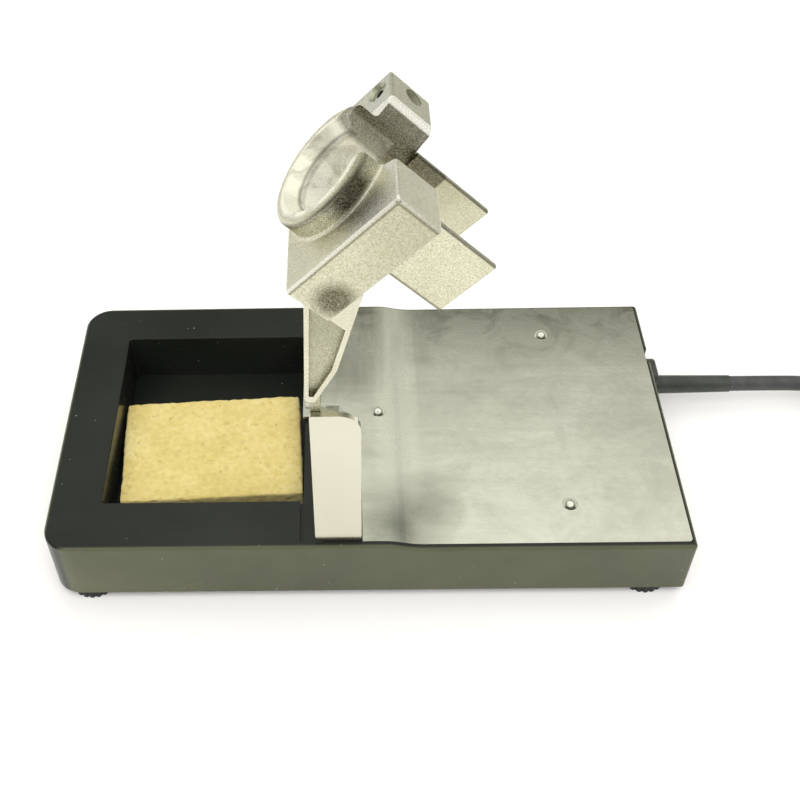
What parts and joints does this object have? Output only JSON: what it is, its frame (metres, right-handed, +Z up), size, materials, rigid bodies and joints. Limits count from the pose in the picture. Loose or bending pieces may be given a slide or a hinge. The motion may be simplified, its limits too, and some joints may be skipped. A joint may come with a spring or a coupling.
{
  "type": "soldering iron stand",
  "caption": "Low stand with a sponge pocket, a metal deck and an upright plate that carries a tilting slotted holder for a hot hand tool, with a thin lead.",
  "frame": {"origin": "on the table under the middle of the base", "axes": "+X along the base towards the end the lead leaves, +Y to the back, +Z up"},
  "size_m": [0.3089, 0.1393, 0.1412],
  "materials": {
    "housing": "gloss",
    "cover": "satin",
    "ballast": "rough",
    "foot_rubber": "matte",
    "deck": "satin",
    "upright": "polished",
    "casting": "satin",
    "screw_steel": "satin",
    "terminal": "satin",
    "sponge": "matte",
    "grommet": "matte",
    "cord": "matte",
    "tie": "matte",
    "plug_metal": "polished"
  },
  "bodies": {
    "base": {"base_housing": "housing", "bottom_cover": "cover", "ballast_plate": "ballast", "ballast_screws": "screw_steel", "cover_screws": "screw_steel", "foot_front_left": "foot_rubber", "foot_front_right": "foot_rubber", "foot_back_left": "foot_rubber", "foot_back_right": "foot_rubber", "foot_screws": "screw_steel", "deck_plate": "deck", "deck_rivets": "screw_steel", "rivet_washers": "screw_steel", "upright": "upright", "bracket_screws": "screw_steel", "holder_studs": "screw_steel", "holder_washers": "screw_steel", "spring_washers": "screw_steel", "holder_nuts": "screw_steel", "cable_grommet": "grommet", "strain_relief": "grommet", "cord_inside": "cord", "cable_tie": "tie", "ring_terminal": "terminal", "earth_core": "terminal", "cord_lead": "cord", "cord_coil": "cord", "cord_tail": "cord", "plug_grip": "cord", "plug_sleeve": "plug_metal", "plug_insulator": "grommet", "plug_tip": "plug_metal"},
    "holder": {"tool_holder": "casting", "lug_screw": "screw_steel", "earth_screw": "screw_steel"},
    "sponge": {"sponge": "sponge"}
  },
  "joints": [
    {"name": "tilt", "type": "hinge", "parent": "base", "child": "holder", "pos_m": [-0.0086, -0.04325, 0.067], "axis": [0, 1, 0], "range_deg": [-10, 10]},
    {"name": "sponge_lift", "type": "slide", "parent": "base", "child": "sponge", "axis": [0, 0, 1], "range_m": [0, 0.03]}
  ]
}
